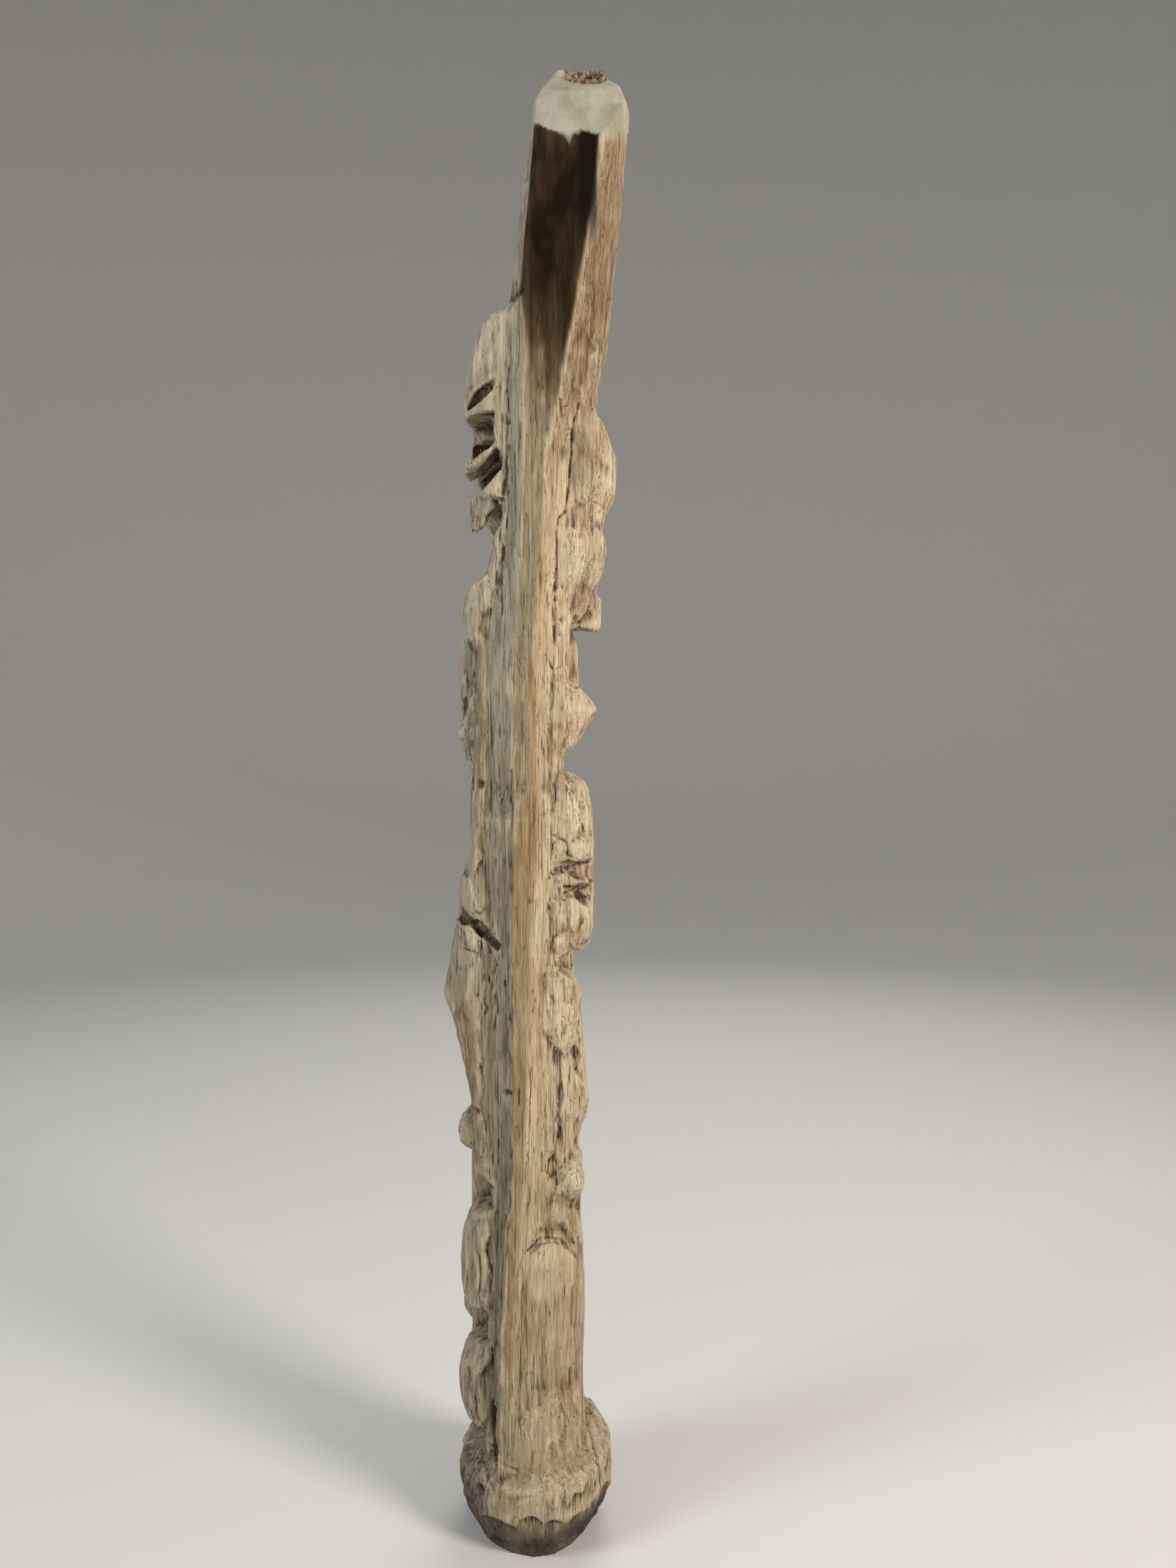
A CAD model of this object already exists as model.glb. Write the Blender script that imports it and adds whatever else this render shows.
import math

import bmesh
import bpy
import numpy as np
from mathutils import Matrix, Vector, kdtree


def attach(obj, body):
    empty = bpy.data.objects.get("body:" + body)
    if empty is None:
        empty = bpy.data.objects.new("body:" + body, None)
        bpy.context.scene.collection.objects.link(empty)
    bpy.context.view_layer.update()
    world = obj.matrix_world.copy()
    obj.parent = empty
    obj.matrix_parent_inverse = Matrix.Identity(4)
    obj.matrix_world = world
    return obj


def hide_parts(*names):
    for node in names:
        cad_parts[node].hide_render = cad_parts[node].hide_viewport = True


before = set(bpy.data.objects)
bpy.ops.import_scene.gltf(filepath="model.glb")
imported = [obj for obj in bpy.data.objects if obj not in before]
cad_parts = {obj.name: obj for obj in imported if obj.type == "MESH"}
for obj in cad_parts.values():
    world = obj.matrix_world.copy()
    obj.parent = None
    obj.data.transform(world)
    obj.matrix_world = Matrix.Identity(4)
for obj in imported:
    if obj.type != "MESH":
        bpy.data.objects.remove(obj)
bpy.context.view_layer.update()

print("frame loaded")


# small tools for meshes


def readPoints(mesh):
    # vertex places in millimetres
    flat = np.empty(len(mesh.vertices) * 3)
    mesh.vertices.foreach_get("co", flat)
    return flat.reshape(-1, 3) * 1000


def writePoints(mesh, points):
    mesh.vertices.foreach_set("co", (points / 1000).ravel())
    mesh.update()


def readNormals(mesh):
    flat = np.empty(len(mesh.vertices) * 3)
    mesh.vertices.foreach_get("normal", flat)
    return flat.reshape(-1, 3)


def readEdges(mesh):
    flat = np.empty(len(mesh.edges) * 2, dtype=np.int64)
    mesh.edges.foreach_get("vertices", flat)
    return flat.reshape(-1, 2)


def relaxed(values, edges, rounds):
    # every value moves to the mean of its neighbours, again and again
    count = np.bincount(edges.ravel(), minlength=len(values)).astype(float)
    for _ in range(rounds):
        mean = np.empty_like(values)
        for axis in range(values.shape[1]):
            column = values[:, axis]
            mean[:, axis] = (
                np.bincount(edges[:, 0], column[edges[:, 1]], len(values))
                + np.bincount(edges[:, 1], column[edges[:, 0]], len(values))
            ) / count
        values = mean
    return values


def unit(vectors):
    return vectors / np.maximum(np.linalg.norm(vectors, axis=1), 1e-9)[:, None]


def ramp(values, low, high):
    # 0 below low, 1 above high, smooth between
    t = np.clip((values - low) / (high - low), 0, 1)
    return t * t * (3 - 2 * t)


# large primes that scramble a cell's place into a number that looks random
scramble = {
    "axes": np.array([73856093, 19349663, 83492791]),
    "seed": 7919,
    "rounds": ((15, 2246822519), (13, 3266489917)),
    "keep": 0xFFFFFFFF,      # the low 32 bits
    "apart": 37.7,           # cells between one octave and the next
}


def noise(points, cell, seed, octaves=1):
    # soft lumps about one cell across, from -1 to 1; each further octave is twice as fine and half as high
    total = np.zeros(len(points))
    weight = 1.0
    scaled = points / np.array(cell, dtype=float)
    for octave in range(octaves):
        place = scaled * 2 ** octave + scramble["apart"] * octave
        low = np.floor(place).astype(np.int64)
        part = place - low
        part = part * part * (3 - 2 * part)
        for corner in range(8):
            step = np.array([corner & 1, corner >> 1 & 1, corner >> 2 & 1])
            key = ((low + step) * scramble["axes"]).sum(1) + seed * scramble["seed"] + octave
            for shift, prime in scramble["rounds"]:
                key = (key ^ (key >> shift)) * prime & scramble["keep"]
            value = ((key >> 8) & 0xFFFF) / 32767.5 - 1
            total += weight * value * np.where(step, part, 1 - part).prod(1)
        weight /= 2
    return total


def alongLine(points, line):
    # how far each x and z lies from a drawn line of x and z
    flat = points[:, [0, 2]]
    nearest = np.full(len(points), 1e9)
    for a, b in zip(line, line[1:]):
        a, b = np.array(a, float), np.array(b, float)
        share = np.clip(((flat - a) @ (b - a)) / ((b - a) @ (b - a)), 0, 1)
        nearest = np.minimum(nearest, np.linalg.norm(flat - a - share[:, None] * (b - a), axis=1))
    return nearest


def onLine(values, line):
    # the second number of a drawn line's points, read off at each of the values
    return np.interp(values, *zip(*line))


def inPatch(points, patch, core=0.55):
    # 1 in the core of an oval patch of x and z, 0 outside
    away = np.hypot((points[:, 0] - patch["x"]) / patch["wide"], (points[:, 2] - patch["z"]) / patch["high"])
    return 1 - ramp(away, core, 1.0)


def smoothShaded(mesh):
    mesh.polygons.foreach_set("use_smooth", np.ones(len(mesh.polygons), dtype=bool))


# the carved wood

carving = {
    "cutFrom": -90,          # mm, y where the small forms are cut from, in front of the wood
    "voxel": 0.88,           # mm, how fine the clay is before the knife
    "soften": 2,             # rounds that take the sharpness off the edges
    "triangles": 194000,
    "facetAcross": 11.0,     # mm, one knife cut
    "facetAlong": 22.0,
    "facetApart": 0.8,       # size of the cells that hold one cut each, counted in cuts
    "facetTries": 14000,     # points tried as the middle of a cut
    "facetSharp": 2.2,       # how sharp the edge between two cuts is
    "facetFacing": 0.55,     # cosine, wood that faces further away isn't touched by a cut
    "facetDeepest": -1.5,    # mm
    "facetHighest": 1.6,
    "facetCut": 0.66,        # how flat each cut is on the carved forms, 0 to 1
    "facetOnSpine": 0.12,    # and on the long hewn faces
    "fibre": 0.18,           # mm, raised fibres
    "furrow": 0.34,          # mm, broader furrows along the grain
    "wave": 0.30,            # mm, uneven hewing
    "check": 0.8,            # mm, short splits
    "pit": 1.5,              # mm, torn and pitted places
    "bend": 2.5,             # mm, how far the grain wanders
    "calmRounds": 6,         # rounds of evening out the directions that the relief rises in
    "facetRounds": 14,       # and the directions of the knife cuts
    "underside": (0.5, 6),   # mm over the floor, no relief below the first and all of it from the second
    "seed": 11,
}

# where the wood counts as the plain side: by how far it faces forward and by y in mm
sight = {
    "facing": (-0.05, 0.25),
    "behind": (2, 12),
}

# size of the lumps in each kind of relief, in mm along x, y and z
lumps = {
    "bend": (30, 30, 90),
    "wave": (17, 17, 55),
    "furrow": (4.4, 4.4, 48),
    "fibre": (2.0, 2.0, 18),
    "weathered": (26, 26, 70),
    "check": (1.7, 1.7, 13),
    "pit": (2.1, 2.1, 9),
    "wobble": (5, 5, 8),
    "broken": (9, 9, 7),
}

# the long hewn faces beside the spine, by their edges as z and x in mm, and the shaft above them
hewn = {
    "left": [(40, -22), (262, -29), (385, -27), (430, -33), (560, -30), (600, -19), (758, -60)],
    "right": [(40, 1), (186, 3), (300, 14), (359, 10), (475, 9), (634, 20), (700, 28), (758, 80)],
    "soft": 3,
    "shaftFrom": (740, 770),
    "shaftTo": (838, 850),
}

# splits that run down the plain side, as lines of x and z in mm
splits = [
    {"line": [(27, 692), (23.5, 676), (23.1, 661), (21.3, 645), (20.1, 634), (19.2, 627)],
     "wide": 1.15, "deep": 2.6},
    {"line": [(19.2, 627), (15.4, 622), (14.5, 613), (14.1, 596), (13.2, 582), (12.3, 560), (12.3, 548)],
     "wide": 1.15, "deep": 2.6},
    {"line": [(16.4, 692), (16.8, 682)], "wide": 0.9, "deep": 1.4},
    {"line": [(18.5, 738), (17.5, 722)], "wide": 0.9, "deep": 1.2},
    {"line": [(-23.8, 82), (-24.7, 66), (-22.3, 52)], "wide": 1.8, "deep": 3.4},
    {"line": [(-27.4, 60), (-20.3, 56), (-9.2, 52.4)], "wide": 1.1, "deep": 1.8},
    {"line": [(29.9, 67), (36, 55), (40, 44), (41.3, 30)], "wide": 1.1, "deep": 2.0},
    {"line": [(22.7, 289), (21.7, 279), (20.4, 265), (19.6, 250)], "wide": 1.1, "deep": 2.0},
    {"line": [(6.5, 452), (5.5, 430), (5.0, 405)], "wide": 0.9, "deep": 1.0},
    {"line": [(5.5, 240), (5.0, 228)], "wide": 0.9, "deep": 1.2},
    {"line": [(-33.5, 176), (-32.5, 165), (-33.5, 152), (-32, 143)], "wide": 1.2, "deep": 2.0},
    {"line": [(-36, 88), (-35, 78), (-36.5, 70)], "wide": 1.1, "deep": 1.6},
    {"line": [(-20, 600), (-19, 585), (-20, 565)], "wide": 0.9, "deep": 1.1},
    {"line": [(-15.5, 715), (-16, 690), (-17, 662), (-17.5, 640)], "wide": 1.0, "deep": 1.3},
]

# the spine's left edge stands over the face beside it
spineEdge = {
    "line": [(-13, 470), (-13.3, 377), (-13, 300), (-12.6, 227), (-17, 179), (-20, 135), (-20.8, 60)],
    "wide": 1.5,
    "deep": 1.7,
}

# cuts of the knife on the plain side
knifeCuts = [
    {"line": [(-48, 374), (-36, 371.5)], "wide": 1.0, "deep": 0.7},
    {"line": [(-47, 362), (-35, 359)], "wide": 1.0, "deep": 0.7},
    {"line": [(-50, 350), (-41, 347)], "wide": 1.0, "deep": 0.6},
    {"line": [(37, 634), (44, 632)], "wide": 1.2, "deep": 1.0},
    {"line": [(13, 431), (20, 427), (21, 416)], "wide": 1.3, "deep": 1.3},
    {"line": [(33, 428), (34, 416)], "wide": 1.2, "deep": 0.9},
    {"line": [(-24, 37), (-10, 38.5), (6, 44), (17, 49), (30, 50)], "wide": 1.2, "deep": 0.5},
    {"line": [(-9, 168), (-6, 180), (4, 188), (16, 186), (26, 172)], "wide": 1.3, "deep": 1.0},
    {"line": [(7, 540), (12, 531), (17, 533), (21, 528)], "wide": 1.1, "deep": 0.9},
]

# torn and pitted places on the plain side
tornPatches = [
    {"x": 14, "z": 488, "wide": 12, "high": 15, "deep": 0.5},
    {"x": 16, "z": 572, "wide": 10, "high": 15, "deep": 1.9},
    {"x": -27, "z": 345, "wide": 15, "high": 42, "deep": 0.8},
    {"x": -24, "z": 430, "wide": 9, "high": 50, "deep": 0.35},
    {"x": -18, "z": 668, "wide": 6, "high": 62, "deep": 0.8},
    {"x": -24, "z": 602, "wide": 9, "high": 28, "deep": 0.8},
    {"x": -28, "z": 240, "wide": 10, "high": 24, "deep": 0.7},
    {"x": -33, "z": 165, "wide": 8, "high": 34, "deep": 0.4},
    {"x": -34, "z": 95, "wide": 8, "high": 34, "deep": 0.4},
    {"x": 10, "z": 330, "wide": 9, "high": 50, "deep": 0.4},
    {"x": 14, "z": 225, "wide": 12, "high": 24, "deep": 0.5},
    {"x": 15, "z": 398, "wide": 10, "high": 26, "deep": 0.8},
    {"x": 20, "z": 352, "wide": 10, "high": 10, "deep": 0.7},
    {"x": -34, "z": 40, "wide": 12, "high": 18, "deep": 0.6},
    {"x": 31.5, "z": 909, "wide": 18, "high": 12, "deep": 3.4},
]

# small holes and knots
holes = [
    {"x": -35.7, "z": 261, "wide": 2.6, "deep": 3.5},
    {"x": -31.9, "z": 36.5, "wide": 3.4, "deep": 4.5},
    {"x": -33, "z": 462, "wide": 3.6, "deep": 4.0},
    {"x": -15.6, "z": 276, "wide": 3.0, "deep": 1.6},
    {"x": -1.5, "z": 392, "wide": 2.6, "deep": 0.9},
]


# forms cut out from the plain side: corners of x, z and how deep the floor lies there, in mm
cutOuts = {
    "upperOpening": [(-40, 679, 8), (-25, 679, 8), (-24, 672, 8), (-27, 668, 8), (-33, 665, 8),
                     (-40, 661, 8)],
    "lowerOpening": [(-41, 652, 6), (-31, 658.5, 6), (-24, 663.5, 4), (-19, 662.5, -2), (-19.5, 655, -2),
                     (-30.5, 643, 4), (-41, 638, 6)],
    "underHand": [(-28, 630, 3), (-20, 634, 0), (-18.5, 628, 0), (-20, 620, 0), (-25, 614.5, 3),
                  (-31, 612, 3), (-33.5, 618, 3)],
    "besideHand": [(-48, 635, 3), (-41.5, 635, 3), (-39.5, 624, 3), (-41, 612, 3), (-48, 612, 3)],
    "capNotch": [(-42, 696, -14), (-34, 708.5, -24), (-23.5, 710, -31), (-25, 703, -25), (-33.5, 696.5, -17),
                 (-42, 692, -13)],
    "thighNotch": [(-52, 394, -12), (-44, 386, -14), (-40.5, 380.5, -16), (-35, 379.5, -18),
                   (-31, 374.5, -22), (-27.5, 373.5, -27), (-27, 370, -26), (-28.5, 369, -19),
                   (-33, 367.5, -15), (-38.5, 374, -12), (-45, 374.5, -9), (-52, 383, -8)],
    "lintel": [(-46, 689, -20), (-24, 690, -25), (-24, 679, -22), (-46, 679, -17)],
    "firstFingers": [(-37.2, 632, -19), (-36.2, 632, -19), (-38.2, 618, -6), (-39.6, 618, -6)],
    "middleFingers": [(-33.2, 633, -22), (-32.2, 633, -22), (-34.0, 618, -8), (-35.4, 618, -8)],
    "lastFingers": [(-29.4, 634, -25), (-28.4, 634, -25), (-29.6, 618, -9), (-31.0, 618, -9)],
    "brow": [(14.5, 414.5, -36), (27, 416, -29), (38, 410, -23), (38, 400, -24), (22, 406, -30)],
    "cheek": [(16, 400, -36), (22, 401, -30), (30, 395, -25), (38, 392, -22), (38, 384, -23),
              (25.5, 390.5, -28)],
}

# lumps and chunks laid on before the knife: middle and half sizes, or corners, in mm
laidOn = {
    "childCheek": {
        "corners": [(18, -35.2, 645), (27, -34.8, 645), (33, -34.2, 645), (38, -31.2, 645), (43, -27.6, 645),
                    (47, -21.5, 645), (18, -34.8, 616), (27, -34.4, 616), (33, -31.4, 617), (38, -27.6, 618),
                    (42, -19, 620), (18, -8, 645), (18, -8, 616), (46, -8, 645), (42, -8, 620)],
    },
    "capFill": {
        "corners": [(-43, -16, 701), (-38, -23.6, 703), (-34, -26.3, 705), (-29, -29.2, 707.5),
                    (-25, -31, 709.5), (-19, -32.3, 712.5), (-43, -16, 715), (-38, -23.6, 717),
                    (-34, -26.3, 719), (-29, -29.2, 721), (-19, -32.3, 724), (-43, -4, 701),
                    (-19, -4, 712), (-43, -4, 715), (-19, -4, 724)],
    },
    "tipRim": {
        "corners": [(13.5, -2.5, 915), (14, 6, 914), (41, -2.5, 915.5), (45, -1, 912), (41, 6, 914.5),
                    (7.5, -2, 908), (8, 9, 907), (49, -2, 905.5), (10, -10, 893), (10, 13, 893),
                    (50, -10, 893), (50, 13, 893)],
    },
    "pebble": {"middle": (27, -31, 423), "half": (7.5, 7, 7.5)},
    "fist": {"middle": (21.5, -28, 221), "half": (8.5, 10, 13)},
    "overPad": {"middle": (9, -23, 208), "half": (17, 14.5, 32)},
    "spineFoot": {
        "corners": [(-19, -41.5, 98), (-19, -45, 47), (0, -41.8, 98), (0, -47.5, 47), (14, -37.6, 98),
                    (15, -45, 48), (27.5, -25.5, 98), (28.5, -37, 50), (-19, -8, 98), (-19, -8, 47),
                    (27.5, -8, 98), (28.5, -8, 51)],
    },
}


def cutter(corners):
    # a closed block from in front of the wood down to the floor of the cut
    shape = bmesh.new()
    near = [shape.verts.new((x / 1000, carving["cutFrom"] / 1000, z / 1000)) for x, z, _ in corners]
    far = [shape.verts.new((x / 1000, depth / 1000, z / 1000)) for x, z, depth in corners]
    shape.faces.new(near)
    shape.faces.new(far[::-1])
    for a in range(len(corners)):
        b = (a + 1) % len(corners)
        shape.faces.new((near[a], far[a], far[b], near[b]))
    bmesh.ops.recalc_face_normals(shape, faces=shape.faces)
    bmesh.ops.triangulate(shape, faces=shape.faces)
    return shape


def layOn(form):
    # the hull of the corners, or an oval lump
    shape = bmesh.new()
    if "corners" in form:
        for corner in form["corners"]:
            shape.verts.new(Vector(corner) / 1000)
        hull = bmesh.ops.convex_hull(shape, input=shape.verts)
        bmesh.ops.delete(shape, geom=hull["geom_interior"], context="VERTS")
    else:
        bmesh.ops.create_icosphere(shape, subdivisions=3, radius=1)
        size = Matrix.Diagonal((*[half / 1000 for half in form["half"]], 1))
        shape.transform(Matrix.Translation(Vector(form["middle"]) / 1000) @ size)
    return shape


def baked(holder):
    # the object's mesh with its modifiers applied
    bpy.context.view_layer.update()
    mesh = bpy.data.meshes.new_from_object(holder.evaluated_get(bpy.context.evaluated_depsgraph_get()))
    bpy.data.objects.remove(holder)
    return mesh


def holderFor(name, mesh):
    holder = bpy.data.objects.new(name, mesh)
    bpy.context.scene.collection.objects.link(holder)
    return holder


def roughOut(node):
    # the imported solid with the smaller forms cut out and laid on
    block = holderFor("block", node.data.copy())
    tools = []
    for name, corners in cutOuts.items():
        shape = cutter(corners)
        mesh = bpy.data.meshes.new(name)
        shape.to_mesh(mesh)
        shape.free()
        tool = holderFor(name, mesh)
        cut = block.modifiers.new(name, "BOOLEAN")
        cut.operation = "DIFFERENCE"
        cut.solver = "EXACT"
        cut.object = tool
        tools.append(tool)
    mesh = baked(block)
    for tool in tools:
        bpy.data.objects.remove(tool)
    whole = bmesh.new()
    whole.from_mesh(mesh)
    for form in laidOn.values():
        shape = layOn(form)
        extra = bpy.data.meshes.new("extra")
        shape.to_mesh(extra)
        shape.free()
        whole.from_mesh(extra)
        bpy.data.meshes.remove(extra)
    whole.to_mesh(mesh)
    whole.free()
    print("forms roughed out")
    return mesh


def clayCopy(node):
    # the roughed-out block as even, soft-edged clay
    clay = holderFor("clay", roughOut(node))
    remesh = clay.modifiers.new("even", "REMESH")
    remesh.mode = "VOXEL"
    remesh.voxel_size = carving["voxel"] / 1000
    soften = clay.modifiers.new("soft", "SMOOTH")
    soften.factor = 0.5
    soften.iterations = carving["soften"]
    return baked(clay)


def cutMiddles(spots):
    # points picked at random as the middles of the knife cuts, one in each cell
    rng = np.random.default_rng(carving["seed"])
    firstInCell = {}
    for pick in rng.permutation(len(spots))[:carving["facetTries"]]:
        firstInCell.setdefault(tuple(np.floor(spots[pick] / carving["facetApart"]).astype(int)), pick)
    return list(firstInCell.values())


def knifeFacets(points, normals):
    # each point is drawn towards the flat of the nearest knife cut
    grid = np.array([carving["facetAcross"], carving["facetAcross"], carving["facetAlong"]])
    spots = points / grid
    chosen = cutMiddles(spots)
    tree = kdtree.KDTree(len(chosen))
    for order, pick in enumerate(chosen):
        tree.insert(spots[pick], order)
    tree.balance()
    centres, flats = points[chosen], normals[chosen]
    lift = np.zeros(len(points))
    for index, spot in enumerate(spots):
        (_, first, near), (_, second, far) = tree.find_n(spot, 2)
        share = min(0.5, max(0.0, 0.5 - (far - near) * carving["facetSharp"]))
        total = 0.0
        for order, weight in ((first, 1 - share), (second, share)):
            if flats[order] @ normals[index] > carving["facetFacing"]:
                total += weight * ((centres[order] - points[index]) @ flats[order])
        lift[index] = total
    return np.clip(lift, carving["facetDeepest"], carving["facetHighest"])


scallops = {
    "count": 17,             # chisel scoops round the foot's lower edge
    "top": 27.0,             # mm
    "deep": 1.7,
    "ridge": 0.35,           # how deep the ridge between two scoops lies, 1 is as deep as a scoop
    "arch": 4,               # mm, how much higher a scoop reaches in its middle
    "uneven": 3,             # mm, how much the scoops differ in height
}


def footScallops(points):
    # how deep the chisel's scoops go, deepest in the middle of each
    around = np.arctan2(points[:, 1], points[:, 0]) / (2 * math.pi) * scallops["count"]
    around += 0.22 * np.sin(around * 1.7) + 0.1 * np.sin(around * 3.1)    # no two scoops are equally wide
    share = around - np.floor(around)
    scoop = 1 - (2 * share - 1) ** 2
    arch = scallops["arch"]
    top = scallops["top"] + arch * scoop - arch + scallops["uneven"] * np.sin(np.floor(around) * 2.3)
    below = 1 - ramp(points[:, 2], top - 1.2, top + 0.6)
    depth = scallops["ridge"] + (1 - scallops["ridge"]) * scoop
    return scallops["deep"] * depth * below * ramp(points[:, 2], 1, 8)


def plainSide(points, normals):
    # 1 where the wood faces the plain side
    return ramp(-normals[:, 1], *sight["facing"]) * (1 - ramp(points[:, 1], *sight["behind"]))


def hewnFaces(points, plain):
    # 1 on the long hewn faces and the shaft, which stay smoother than the carved forms
    x, z = points[:, 0], points[:, 2]
    left, right, soft = onLine(z, hewn["left"]), onLine(z, hewn["right"]), hewn["soft"]
    faces = plain * ramp(x, left - soft, left + soft) * (1 - ramp(x, right - soft, right + soft))
    return np.maximum(faces, ramp(z, *hewn["shaftFrom"]) * (1 - ramp(z, *hewn["shaftTo"])))


def addGrain(lift, points, grain):
    # uneven hewing, furrows and raised fibres, and short splits where the wood is weathered
    lift += carving["wave"] * noise(grain, lumps["wave"], 1, 2)
    lift += carving["furrow"] * (0.35 - np.abs(noise(grain, lumps["furrow"], 2, 2)))
    lift += carving["fibre"] * noise(grain, lumps["fibre"], 3, 1)
    weathered = ramp(noise(points, lumps["weathered"], 8, 2), -0.2, 0.6)
    short = noise(grain, lumps["check"], 4, 1)
    lift -= carving["check"] * ramp(short, 0.68, 0.92) * (0.1 + 0.9 * weathered)


def addDamage(lift, points, grain, plain):
    # torn places, splits, knife cuts and holes on the plain side
    pitted = ramp(noise(grain, lumps["pit"], 21, 2), 0.05, 0.7)
    for patch in tornPatches:
        torn = inPatch(points, patch) * plain
        lift -= torn * carving["pit"] * patch["deep"] * (0.75 * pitted + 0.25)
    zero = np.zeros(len(points))
    wobbled = points + np.stack([0.6 * noise(points, lumps["wobble"], 31, 2), zero, zero], axis=1)
    broken = 0.55 + 0.45 * noise(points, lumps["broken"], 33)
    for cut in splits + knifeCuts + [spineEdge]:
        away = alongLine(wobbled, cut["line"])
        lift -= plain * broken * cut["deep"] * np.clip(1 - away / cut["wide"], 0, 1) ** 0.8
    for hole in holes:
        away = np.hypot(points[:, 0] - hole["x"], points[:, 2] - hole["z"])
        lift -= plain * hole["deep"] * np.clip(1.25 * (1 - away / hole["wide"]), 0, 1)


def carve(mesh):
    points, normals, edges = readPoints(mesh), readNormals(mesh), readEdges(mesh)
    smoothNormals = unit(relaxed(normals, edges, carving["calmRounds"]))
    plain = plainSide(points, smoothNormals)
    print("clay has", len(points), "points")
    calmer = carving["facetOnSpine"] - carving["facetCut"]
    strength = carving["facetCut"] + calmer * hewnFaces(points, plain)
    lift = strength * knifeFacets(points, unit(relaxed(normals, edges, carving["facetRounds"])))
    lift -= footScallops(points)
    print("knife facets cut")
    wander = [noise(points, lumps["bend"], 5), noise(points, lumps["bend"], 6), np.zeros(len(points))]
    grain = points + carving["bend"] * np.stack(wander, axis=1)
    addGrain(lift, points, grain)
    addDamage(lift, points, grain, plain)

    # the underside stays flat on the floor
    still, full = carving["underside"]
    lift *= ramp(points[:, 2], still, full)
    moved = points + smoothNormals * lift[:, None]
    moved[:, 2] = np.where(points[:, 2] < still, 0, np.maximum(moved[:, 2], 0))
    writePoints(mesh, moved)
    print("relief carved")


def flatUnder(mesh, reach=0.25):
    # what lies within reach of the floor, in mm, is set down flat on it again
    points = readPoints(mesh)
    points[:, 2] = np.where(points[:, 2] < reach, 0, points[:, 2])
    writePoints(mesh, points)


def thinOut(mesh, limit):
    # fewer triangles where the wood is plain
    mesh.calc_loop_triangles()
    holder = holderFor("thin", mesh)
    fewer = holder.modifiers.new("fewer", "DECIMATE")
    fewer.ratio = limit / len(mesh.loop_triangles)
    return baked(holder)


def dropCrumbs(mesh):
    # loose crumbs are left out, so the wood stays one piece
    edges = readEdges(mesh)
    label = np.arange(len(mesh.vertices))
    while True:
        low = np.minimum(label[edges[:, 0]], label[edges[:, 1]])
        joined = label.copy()
        np.minimum.at(joined, edges[:, 0], low)
        np.minimum.at(joined, edges[:, 1], low)
        joined = joined[joined]
        if (joined == label).all():
            break
        label = joined
    keep = label == np.bincount(label).argmax()
    if keep.all():
        return
    shape = bmesh.new()
    shape.from_mesh(mesh)
    crumbs = [vert for vert, kept in zip(shape.verts, keep) if not kept]
    print("crumbs dropped:", len(crumbs), "points")
    bmesh.ops.delete(shape, geom=crumbs, context="VERTS")
    shape.to_mesh(mesh)
    shape.free()


# marks that the finish is painted by

tint = {
    "hollowSizes": ((2, 0.20), (6, 0.75)),    # rounds of smoothing and mm, fine and broad hollows
    "cleanPad": {"x": 13, "z": 59, "wide": 30, "high": 22},    # less dirt in the hollows of the pad
    "stainFull": 772,        # mm, the dark stain is full from here up
    "stainEnd": 668,         # and gone from here down
    "stainRun": 20,          # how far its lower end runs up and down
    "stripLeft": 27.5,       # the wet-looking strip down the stained face
    "stripRight": 40,
    "stripEnd": (772, 812),
    "pith": {"x": 31.5, "z": 909.5, "wide": 18, "high": 12},
    "pithFrom": (897, 900),
    "chalkBehind": (843, 849),    # mm, the trimmed end begins here on the hidden sides
    "oliveTo": (690, 750),
    "shaftFrom": (620, 730),
    "dustTo": (60, 300),
    "greyDustTo": (330, 470),
    "soilTo": (14, 30),
    "leftSoilTo": (26, 70),
}

# heights in mm between which each place with honey-coloured wood fades in, and out again
honeyHeights = {
    "arris": ((380, 460), (540, 620)),
    "band": ((90, 200), (420, 500)),
    "rim": ((395, 430), (540, 580)),
    "thigh": ((235, 260), (325, 350)),
}

# lines that part the colours, as z and x in mm
partings = {
    "arris": [(640, 5), (700, 15), (731, 22), (767, 28), (808, 34.5), (855, 39.5), (924, 44)],
    "bevel": [(680, -3), (741, -6), (760, -8), (790, -6), (824, -1.5), (855, 0.5)],
    "grey": [(40, -21), (135, -20), (179, -17), (227, -12.6), (377, -13.3), (520, -12), (645, -4.5),
             (786, -4), (924, 5)],
    "olive": [(40, -13), (179, -7), (295, -2), (440, 2), (555, 1), (604, 5.7), (661, 7.5), (700, 17),
              (753, 28), (924, 45)],
    "thigh": [(230, -37), (300, -40), (345, -47)],
}

# size of the lumps that break up the edges of the colours, in mm along x, y and z
mottle = {
    "ragged": (5, 5, 30),
    "stainRun": (4, 4, 70),
    "chalk": (6, 6, 6),
    "pith": (3, 3, 3),
    "drift": (6, 6, 40),
    "outside": (14, 14, 60),
    "honey": (5, 5, 40),
    "cream": (8, 8, 20),
    "brown": (6, 6, 20),
    "soil": (12, 12, 12),
}

# the lower edge of the pale trimmed end, as x and z in mm
chalkEdge = [(1.9, 861), (9.5, 855), (16, 852.5), (22.8, 851), (28.7, 853.7), (43.6, 851), (52.6, 857.5),
             (56.5, 857.5)]


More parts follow.
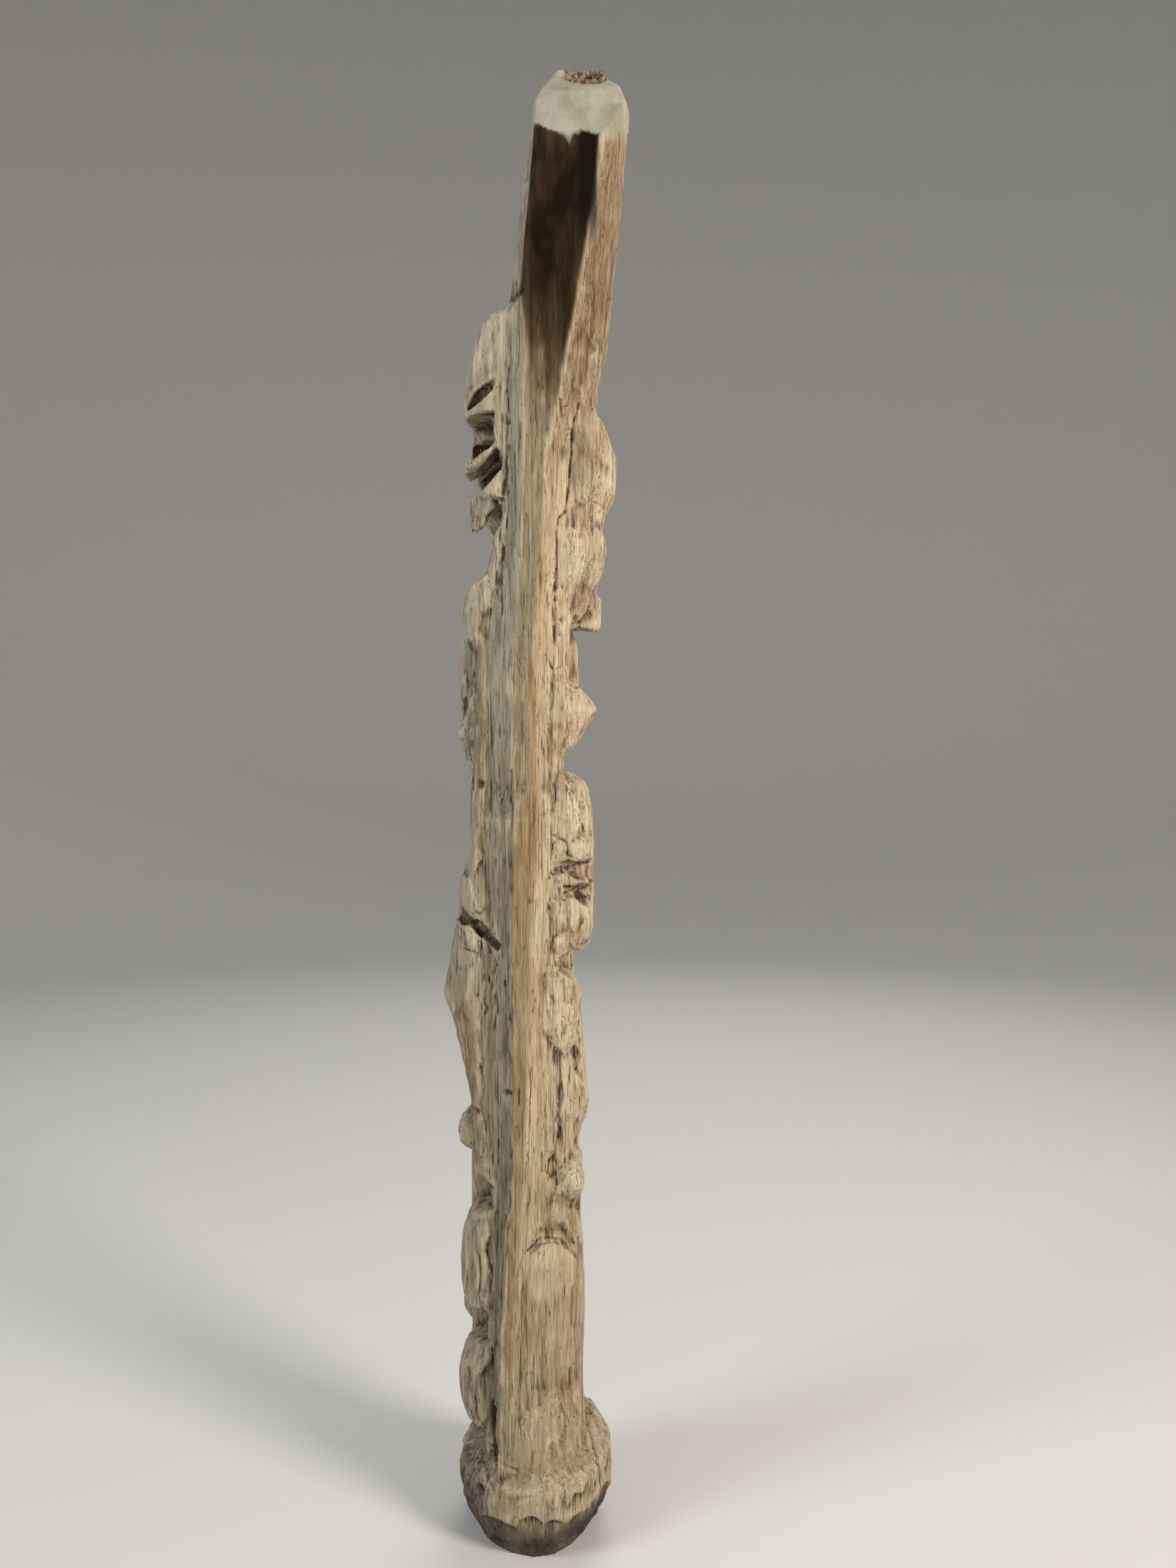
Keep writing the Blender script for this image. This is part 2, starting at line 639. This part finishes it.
# pale, dry-looking places where the knife left fresh wood
creamPatches = [
    {"x": 23, "z": 600, "wide": 12, "high": 26},
    {"x": 20, "z": 508, "wide": 15, "high": 12},
    {"x": 22, "z": 445, "wide": 14, "high": 26},
    {"x": 27, "z": 423, "wide": 8, "high": 8},
    {"x": 26, "z": 381, "wide": 12, "high": 9},
    {"x": 15, "z": 322, "wide": 14, "high": 22},
    {"x": 22, "z": 222, "wide": 9, "high": 12},
    {"x": 8, "z": 165, "wide": 15, "high": 20},
    {"x": 43, "z": 655, "wide": 9, "high": 22},
    {"x": 40, "z": 568, "wide": 7, "high": 12},
    {"x": -42, "z": 246, "wide": 9, "high": 16},
    {"x": -36, "z": 735, "wide": 14, "high": 26},
]


# places that kept their brown skin
brownPatches = [
    {"x": 33, "z": 664, "wide": 17, "high": 30},
    {"x": 31, "z": 572, "wide": 10, "high": 16},
    {"x": 28, "z": 340, "wide": 9, "high": 14},
    {"x": 18, "z": 200, "wide": 15, "high": 17},
    {"x": 22, "z": 464, "wide": 15, "high": 9},
    {"x": 28, "z": 405, "wide": 12, "high": 13},
    {"x": 27, "z": 370, "wide": 12, "high": 8},
    {"x": 27, "z": 478, "wide": 10, "high": 10},
    {"x": -34, "z": 684, "wide": 10, "high": 8},
    {"x": -36, "z": 702, "wide": 9, "high": 7},
]


def within(z, heights):
    # 1 from the top of the first pair of heights to the foot of the second, 0 outside both
    return ramp(z, *heights[0]) * (1 - ramp(z, *heights[1]))


def inPatches(points, plain, patches):
    most = np.zeros(len(points))
    for patch in patches:
        most = np.maximum(most, inPatch(points, patch) * plain)
    return most


def reliefMarks(points, soft, edges, plain):
    # hollows, which gather dirt, and ridges, which are rubbed pale
    hollow, ridge = np.zeros(len(points)), np.zeros(len(points))
    smooth = points
    for rounds, scale in tint["hollowSizes"]:
        smooth = relaxed(smooth, edges, rounds)
        bend = ((smooth - points) * soft).sum(1) / scale
        hollow += np.clip(bend, 0, 1.5) / 2
        ridge += np.clip(-bend, 0, 1.5) / 2
    return {"hollow": hollow * (1 - 0.8 * plain * inPatch(points, tint["cleanPad"])), "ridge": ridge}


def stainMarks(points, plain, ragged):
    # the dark stain lies between the bevel and the arris and runs out downwards
    x, z = points[:, 0], points[:, 2]
    fromArris = x - onLine(z, partings["arris"]) + 0.5 * ragged
    fromBevel = x - onLine(z, partings["bevel"]) + 0.4 * ragged
    face = (1 - ramp(fromArris, -1.5, 1.5)) * ramp(fromBevel, -1.5, 1.5) * plain
    height = z + tint["stainRun"] * noise(points, mottle["stainRun"], 42, 2)
    strip = ramp(x + 0.7 * ragged, tint["stripLeft"] - 3, tint["stripLeft"] + 3) \
        * (1 - ramp(x + 0.3 * ragged, tint["stripRight"] - 3, tint["stripRight"])) \
        * ramp(z + 6 * ragged, *tint["stripEnd"]) * plain
    return {"stain": face * ramp(height, tint["stainEnd"], tint["stainFull"]), "strip": strip}


def trimmedMarks(points, soft, plain, ragged):
    # the pale trimmed end and the pith in its top
    x, z = points[:, 0], points[:, 2]
    height = z - onLine(x, chalkEdge) + 0.25 * noise(points, mottle["chalk"], 51, 2)
    chalk = plain * ramp(height, -0.7, 0.7)
    chalk += (1 - plain) * ramp(soft[:, 2] + 0.05 * ragged, 0.16, 0.30) * ramp(z, *tint["chalkBehind"])
    pith = inPatch(points + 0.8 * ragged[:, None], tint["pith"])
    pith = ramp(pith + 0.25 * noise(points, mottle["pith"], 49, 2), 0.12, 0.4) * ramp(z, *tint["pithFrom"])
    return {"chalk": chalk, "pith": pith}


def honeyMark(drift, z, plain, greyEdge, oliveEdge):
    # warm rubbed wood: the spine's arris, the low band beside it and two rims on the left
    arris = np.exp(-((drift - oliveEdge + 0.5) / 2.6) ** 2) * within(z, honeyHeights["arris"])
    band = ramp(drift, greyEdge - 0.5, greyEdge + 1.5) * (1 - ramp(drift, oliveEdge - 4, oliveEdge + 2))
    band *= within(z, honeyHeights["band"])
    rim = np.exp(-((drift + 33) / 3.2) ** 2) * within(z, honeyHeights["rim"])
    thigh = np.exp(-((drift - onLine(z, partings["thigh"])) / 4.0) ** 2) * within(z, honeyHeights["thigh"])
    return plain * np.clip(arris + 0.8 * band + 0.9 * rim + 0.8 * thigh, 0, 1)


def weatherMarks(points, soft, plain):
    # grey weathering on the left, warm wood on the right, olive and honey between them
    x, z = points[:, 0], points[:, 2]
    greyEdge, oliveEdge = onLine(z, partings["grey"]), onLine(z, partings["olive"])
    drift = x + 1.2 * noise(points, mottle["drift"], 44, 2)
    outside = ramp(-soft[:, 0] + 0.3 * noise(points, mottle["outside"], 47, 2), -0.1, 0.6)
    grey = plain * (1 - ramp(drift, greyEdge - 2.5, greyEdge + 1.5)) + (1 - plain) * outside
    olive = plain * ramp(drift, greyEdge - 1, greyEdge + 2) * (1 - ramp(z, *tint["oliveTo"]))
    olive *= 1 - ramp(drift, oliveEdge - 3, oliveEdge + 1)
    honey = honeyMark(drift, z, plain, greyEdge, oliveEdge)
    honey *= 0.85 + 0.4 * noise(points, mottle["honey"], 45, 2)
    cream = inPatches(points, plain, creamPatches)
    cream *= 0.75 + 0.4 * noise(points, mottle["cream"], 46, 2)
    brown = inPatches(points, plain, brownPatches)
    brown *= 0.85 + 0.3 * noise(points, mottle["brown"], 48, 2)
    greyDust = 0.75 * grey * plain * (1 - ramp(z, *tint["greyDustTo"]))
    return {
        "grey": grey,
        "olive": olive,
        "honey": honey,
        "cream": cream,
        "brown": brown,
        "shaftTan": ramp(z, *tint["shaftFrom"]) * (1 - grey),
        "footDust": np.maximum(1 - ramp(z, *tint["dustTo"]), greyDust),
    }


def soilMark(points, plain):
    # soil on the foot's lower edge and up its left front
    x, z = points[:, 0], points[:, 2]
    below = 0.95 * (1 - ramp(z + 2.5 * noise(points, mottle["soil"], 50, 2), *tint["soilTo"]))
    left = 0.9 * plain * (1 - ramp(x + 0.5 * z, -34, 6)) * (1 - ramp(z, *tint["leftSoilTo"]))
    return {"soil": np.maximum(below, left)}


def paintMarks(mesh):
    points, normals, edges = readPoints(mesh), readNormals(mesh), readEdges(mesh)
    soft = unit(relaxed(normals, edges, 8))
    plain = plainSide(points, soft)
    ragged = 2.0 * noise(points, mottle["ragged"], 41, 2)
    marks = reliefMarks(points, soft, edges, plain)
    marks |= stainMarks(points, plain, ragged)
    marks |= trimmedMarks(points, soft, plain, ragged)
    marks |= weatherMarks(points, soft, plain)
    marks |= soilMark(points, plain)
    for name, values in marks.items():
        mark = mesh.attributes.new(name, "FLOAT", "POINT")
        mark.data.foreach_set("value", np.clip(values, 0, 1).astype(np.float32))
    print("marks painted")


# the finish

finish = {
    "greyWood": (0.55, 0.51, 0.385),
    "greyDark": (0.31, 0.27, 0.185),
    "warmWood": (0.465, 0.345, 0.21),
    "tanWood": (0.66, 0.54, 0.37),
    "oliveWood": (0.37, 0.315, 0.185),
    "creamWood": (0.78, 0.68, 0.49),
    "honeyWood": (0.34, 0.205, 0.075),
    "shaftTan": (0.225, 0.14, 0.072),
    "skinBrown": (0.25, 0.155, 0.085),
    "footDust": (0.30, 0.24, 0.15),
    "soilDark": (0.035, 0.028, 0.02),
    "dirtBrown": (0.13, 0.085, 0.042),
    "hollowBrown": (0.03, 0.017, 0.008),
    "lineBrown": (0.05, 0.03, 0.014),
    "stainBrown": (0.010, 0.0052, 0.0014),
    "stainThin": (0.07, 0.037, 0.013),
    "stripBlack": (0.0062, 0.0034, 0.0012),
    "chalkWhite": (0.40, 0.385, 0.315),
    "chalkTan": (0.30, 0.275, 0.20),
    "pithPale": (0.34, 0.26, 0.165),
    "pithBrown": (0.06, 0.034, 0.016),
    "fibreShade": (0.40, 0.32, 0.23),    # multiplied over the colour along the darker fibres
    "fineShade": (0.38, 0.30, 0.22),
}

# layers of grain: lumps in a metre along x, y and z, then detail, roughness and twist
grains = {
    "fineFibre": ((1500, 1500, 60), 5, 0.65, 0.6),
    "fibre": ((520, 520, 20), 5, 0.62, 0.8),
    "streak": ((170, 170, 7), 4, 0.6, 0.8),
    "blotch": ((45, 45, 18), 5, 0.62, 0.4),
    "pits": ((620, 620, 200), 3, 0.6, 0.0),
    "rings": ((34, 34, 8), 3, 0.5, 0.5),
    "crumb": ((420, 420, 240), 5, 0.7, 0.8),
}

# thin dark lines along the grain, and the gaps that break them into lengths
grainLines = {
    "long": {"scale": (300, 300, 8), "width": 0.012, "gapScale": (150, 150, 30), "gapFrom": 0.47},
    "short": {"scale": (680, 680, 22), "width": 0.016, "gapScale": (300, 300, 55), "gapFrom": 0.54},
}

fineRelief = {
    "ringCount": 17.0,       # how close together the growth rings lie
    "chipScale": (150, 150, 75),    # small flat chips left by the knife, in a metre
    "fibre": 0.6,            # shares of the relief that is too fine for the mesh
    "fineFibre": 0.45,
    "chips": 0.8,
    "grooves": 0.8,
    "crumb": 2.5,
    "height": 0.0020,        # m
}


def woodFinish():
    material = bpy.data.materials.new("hewnWood")
    material.use_nodes = True
    tree = material.node_tree
    tree.nodes.clear()
    place = [0, 0]

    def add(kind, **settings):
        made = tree.nodes.new("ShaderNode" + kind)
        place[0] += 180
        if place[0] > 1800:
            place[0], place[1] = 0, place[1] - 320
        made.location = place
        for key, value in settings.items():
            setattr(made, key, value)
        return made

    def join(source, target):
        tree.links.new(source, target)

    def mark(name):
        return add("Attribute", attribute_name=name).outputs["Fac"]

    def grainNoise(scale, detail, rough=0.55, twist=0.0):
        mapping = add("Mapping")
        mapping.inputs["Scale"].default_value = scale
        join(place3d, mapping.inputs["Vector"])
        made = add("TexNoise")
        made.inputs["Scale"].default_value = 1.0
        made.inputs["Detail"].default_value = detail
        made.inputs["Roughness"].default_value = rough
        made.inputs["Distortion"].default_value = twist
        join(mapping.outputs["Vector"], made.inputs["Vector"])
        return made.outputs["Fac"]

    def between(value, low, high, start=0.0, end=1.0):
        # start up to low, end from high on, even between
        made = add("MapRange")
        made.inputs["From Min"].default_value = low
        made.inputs["From Max"].default_value = high
        made.inputs["To Min"].default_value = start
        made.inputs["To Max"].default_value = end
        join(value, made.inputs["Value"])
        return made.outputs["Result"]

    def reckon(kind, a, b, clamp=True):
        made = add("Math", operation=kind, use_clamp=clamp)
        for socket, value in zip(made.inputs, (a, b)):
            if isinstance(value, (int, float)):
                socket.default_value = value
            else:
                join(value, socket)
        return made.outputs[0]

    def times(a, b, clamp=True):
        return reckon("MULTIPLY", a, b, clamp)

    def blend(amount, under, over, kind="MIX"):
        made = add("Mix", data_type="RGBA", blend_type=kind)
        join(amount, made.inputs["Factor"])
        sockets = [socket for socket in made.inputs if socket.type == "RGBA"]
        for socket, value in zip(sockets, (under, over)):
            if isinstance(value, tuple):
                socket.default_value = (*value, 1)
            else:
                join(value, socket)
        return [socket for socket in made.outputs if socket.type == "RGBA"][0]

    def fineLines(scale, width, gapScale, gapFrom):
        # thin lines where a stretched noise crosses its middle, broken into lengths
        away = reckon("SUBTRACT", grainNoise(scale, 3, 0.55, 0.3), 0.5, clamp=False)
        line = between(reckon("ABSOLUTE", away, 0, clamp=False), 0.0, width, 1.0, 0.0)
        gaps = between(grainNoise(gapScale, 2), gapFrom, gapFrom + 0.08)
        return times(line, gaps)

    place3d = add("TexCoord").outputs["Object"]
    fineFibre = grainNoise(*grains["fineFibre"])
    fibre = grainNoise(*grains["fibre"])
    streak = grainNoise(*grains["streak"])
    blotch = grainNoise(*grains["blotch"])
    crumb = grainNoise(*grains["crumb"])
    longLines = fineLines(**grainLines["long"])
    shortLines = fineLines(**grainLines["short"])
    pits = between(grainNoise(*grains["pits"]), 0.68, 0.76)
    # growth rings that the flat cuts run across
    rings = times(grainNoise(*grains["rings"]), fineRelief["ringCount"], clamp=False)
    rings = reckon("PINGPONG", rings, 1.0, clamp=False)
    ringLines = between(rings, 0.0, 0.22, 1.0, 0.0)

    grey = mark("grey")
    colour = blend(between(blotch, 0.38, 0.62), finish["warmWood"], finish["tanWood"])
    greys = blend(between(streak, 0.38, 0.66), finish["greyDark"], finish["greyWood"])
    colour = blend(grey, colour, greys)
    covers = [
        ("olive", 0.8, "oliveWood"),
        ("shaftTan", 0.85, "shaftTan"),
        ("cream", between(fibre, 0.3, 0.6, 0.55, 0.95), "creamWood"),
        ("brown", 0.8, "skinBrown"),
        ("footDust", 0.6, "footDust"),
        ("ridge", 0.55, "creamWood"),
    ]
    for name, strength, paint in covers:
        colour = blend(times(mark(name), strength), colour, finish[paint])
    warmStreak = times(between(streak, 0.55, 0.72), times(between(grey, 0, 1, 1, 0.3), 0.5))
    colour = blend(warmStreak, colour, finish["honeyWood"])
    colour = blend(times(mark("honey"), between(fibre, 0.25, 0.65, 0.45, 1.0)), colour, finish["honeyWood"])
    colour = blend(times(ringLines, between(blotch, 0.35, 0.6, 0.0, 0.3)), colour, finish["skinBrown"])

    # fine grain: darker and paler fibres
    colour = blend(between(fibre, 0.40, 0.78, 0.0, 0.5), colour, finish["fibreShade"], "MULTIPLY")
    colour = blend(between(fineFibre, 0.45, 0.75, 0.0, 0.6), colour, finish["fineShade"], "MULTIPLY")
    colour = blend(between(fineFibre, 0.45, 0.25, 0.0, 0.35), colour, finish["creamWood"])

    # dirt in the hollows, soil at the foot and fine dark lines
    hollow = times(mark("hollow"), between(fineFibre, 0.36, 0.62, 0.55, 1.4), clamp=False)
    colour = blend(times(between(hollow, 0.22, 0.75), 0.6), colour, finish["dirtBrown"])
    colour = blend(between(hollow, 0.8, 1.15), colour, finish["hollowBrown"])
    colour = blend(times(mark("soil"), between(blotch, 0.35, 0.6, 0.78, 1.0)), colour, finish["soilDark"])
    for dark, strength in ((longLines, 0.7), (shortLines, 0.5), (pits, 0.45)):
        colour = blend(times(dark, strength), colour, finish["lineBrown"])

    # the stain, the strip on it, the pale trimmed end and the pith
    stain = mark("stain")
    stainColour = blend(between(fibre, 0.36, 0.7), finish["stainBrown"], finish["stainThin"])
    colour = blend(times(between(stain, 0.0, 0.6), 0.85), colour, stainColour)
    deepStain = times(between(stain, 0.5, 0.95), between(blotch, 0.34, 0.58, 0.45, 1.0))
    colour = blend(deepStain, colour, finish["stainBrown"])
    strip = mark("strip")
    colour = blend(strip, colour, finish["stripBlack"])
    chalk = mark("chalk")
    chalkColour = blend(between(blotch, 0.4, 0.6), finish["chalkWhite"], finish["chalkTan"])
    chalkColour = blend(times(shortLines, 0.5), chalkColour, finish["dirtBrown"])
    colour = blend(times(chalk, 0.96), colour, chalkColour)
    pith = mark("pith")
    pithColour = blend(between(crumb, 0.42, 0.58), finish["pithPale"], finish["pithBrown"])
    colour = blend(pith, colour, pithColour)

    shader = add("BsdfPrincipled")
    join(colour, shader.inputs["Base Color"])
    matt = between(fibre, 0.3, 0.7, 0.62, 0.85)
    wet = times(strip, between(blotch, 0.42, 0.6))
    join(reckon("SUBTRACT", matt, times(wet, 0.2)), shader.inputs["Roughness"])
    shine = reckon("ADD", between(stain, 0, 0.6, 0.3, 0.05), times(strip, 0.02))
    join(shine, shader.inputs["Specular IOR Level"])

    # relief too fine for the mesh, calmer under the stain and on the trimmed end
    calm = times(between(stain, 0, 1, 1, 0.3), between(chalk, 0, 1, 1, 0.5))
    calm = times(calm, between(strip, 0, 1, 1, 0.25))
    chipMap = add("Mapping")
    chipMap.inputs["Scale"].default_value = fineRelief["chipScale"]
    join(place3d, chipMap.inputs["Vector"])
    chips = add("TexVoronoi", feature="F1")
    chips.inputs["Scale"].default_value = 1.0
    join(chipMap.outputs["Vector"], chips.inputs["Vector"])
    grooves = reckon("MAXIMUM", reckon("MAXIMUM", longLines, shortLines), pits)
    raised = times(fibre, fineRelief["fibre"])
    raised = reckon("ADD", raised, times(fineFibre, fineRelief["fineFibre"]), clamp=False)
    raised = reckon("ADD", raised, times(chips.outputs["Distance"], fineRelief["chips"]), clamp=False)
    raised = reckon("SUBTRACT", raised, times(grooves, fineRelief["grooves"]), clamp=False)
    crumbled = times(pith, times(crumb, fineRelief["crumb"]))
    raised = reckon("SUBTRACT", raised, crumbled, clamp=False)
    bump = add("Bump")
    bump.inputs["Distance"].default_value = fineRelief["height"]
    join(calm, bump.inputs["Strength"])
    join(raised, bump.inputs["Height"])
    join(bump.outputs["Normal"], shader.inputs["Normal"])
    out = add("OutputMaterial")
    join(shader.outputs["BSDF"], out.inputs["Surface"])
    print("finish made")
    return material


def makePillar():
    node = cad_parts["pillar"]
    mesh = clayCopy(node)
    carve(mesh)
    mesh = thinOut(mesh, carving["triangles"])
    dropCrumbs(mesh)
    flatUnder(mesh)
    paintMarks(mesh)
    mesh.name = "carvedPillar"
    mesh.materials.clear()
    mesh.materials.append(woodFinish())
    smoothShaded(mesh)
    pillar = bpy.data.objects.new("carvedPillar", mesh)
    bpy.context.scene.collection.objects.link(pillar)
    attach(pillar, "root")
    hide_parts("pillar")
    print("pillar has", len(mesh.polygons), "faces")


makePillar()


# floor, lights and camera

studio = {
    "floorColour": (0.60, 0.595, 0.58),
    "floorRings": (0.4, 1.2, 2.4),    # m, the floor turns up past the last one
    "turnRadius": 1.1,
    "turnStep": 10,          # degrees
    "wallTop": 6.0,
    "sides": 72,
    "roomLight": 0.34,
    "roomColour": (0.96, 0.97, 1.0),
    "lampsAim": (0, 0, 0.5),
}

lamps = {
    "coolLeft": {"at": (-1.35, -0.75, 1.35), "size": 0.7, "watts": 16, "colour": (0.94, 0.97, 1.0)},
    "warmRight": {"at": (1.30, -1.05, 1.05), "size": 0.6, "watts": 35, "colour": (1.0, 0.92, 0.82)},
    "backTop": {"at": (0.3, 1.5, 1.9), "size": 1.2, "watts": 20, "colour": (1.0, 0.98, 0.95)},
}

view = {
    "eye": (0.033, -0.75, 0.462),
    "lens": 27.08,           # mm
    "frame": 36,             # mm, the frame that the lens is meant for
    "nearest": 0.01,
}


def makeFloor():
    # a round floor that turns up into a plain wall
    turn, radius, sides = studio["turnRadius"], studio["floorRings"][-1], studio["sides"]
    profile = [(ring, 0.0) for ring in studio["floorRings"]]
    bends = np.radians(np.arange(studio["turnStep"], 91, studio["turnStep"]))
    profile += [(radius + turn * math.sin(a), turn - turn * math.cos(a)) for a in bends]
    profile.append((radius + turn, studio["wallTop"]))
    shape = bmesh.new()
    rings = []
    for r, z in profile:
        angles = [2 * math.pi * k / sides for k in range(sides)]
        rings.append([shape.verts.new((r * math.cos(a), r * math.sin(a), z)) for a in angles])
    shape.faces.new(rings[0])
    for low, high in zip(rings, rings[1:]):
        for k in range(sides):
            shape.faces.new((low[k - 1], low[k], high[k], high[k - 1]))
    bmesh.ops.recalc_face_normals(shape, faces=shape.faces)
    mesh = bpy.data.meshes.new("floor")
    shape.to_mesh(mesh)
    shape.free()
    smoothShaded(mesh)
    floor = holderFor("floor", mesh)
    material = bpy.data.materials.new("paleFloor")
    material.use_nodes = True
    shader = material.node_tree.nodes["Principled BSDF"]
    shader.inputs["Base Color"].default_value = (*studio["floorColour"], 1)
    shader.inputs["Roughness"].default_value = 0.9
    mesh.materials.append(material)


def makeLamps():
    for name, lamp in lamps.items():
        light = bpy.data.lights.new(name, "AREA")
        light.shape = "DISK"
        light.size = lamp["size"]
        light.energy = lamp["watts"]
        light.color = lamp["colour"]
        holder = bpy.data.objects.new(name, light)
        holder.location = lamp["at"]
        aim = Vector(studio["lampsAim"]) - Vector(lamp["at"])
        holder.rotation_euler = aim.to_track_quat("-Z", "Y").to_euler()
        bpy.context.scene.collection.objects.link(holder)
    world = bpy.data.worlds.new("paleRoom")
    world.use_nodes = True
    back = world.node_tree.nodes["Background"]
    back.inputs["Color"].default_value = (*studio["roomColour"], 1)
    back.inputs["Strength"].default_value = studio["roomLight"]
    bpy.context.scene.world = world
    bpy.context.scene.view_settings.view_transform = "Standard"


def makeCamera():
    camera = bpy.data.cameras.new("eye")
    camera.lens = view["lens"]
    camera.sensor_width = view["frame"]
    camera.clip_start = view["nearest"]
    holder = bpy.data.objects.new("eye", camera)
    holder.location = view["eye"]
    holder.rotation_euler = (math.radians(90), 0, 0)
    bpy.context.scene.collection.objects.link(holder)
    bpy.context.scene.camera = holder


makeFloor()
makeLamps()
makeCamera()
print("studio set")

print("sizes kept")
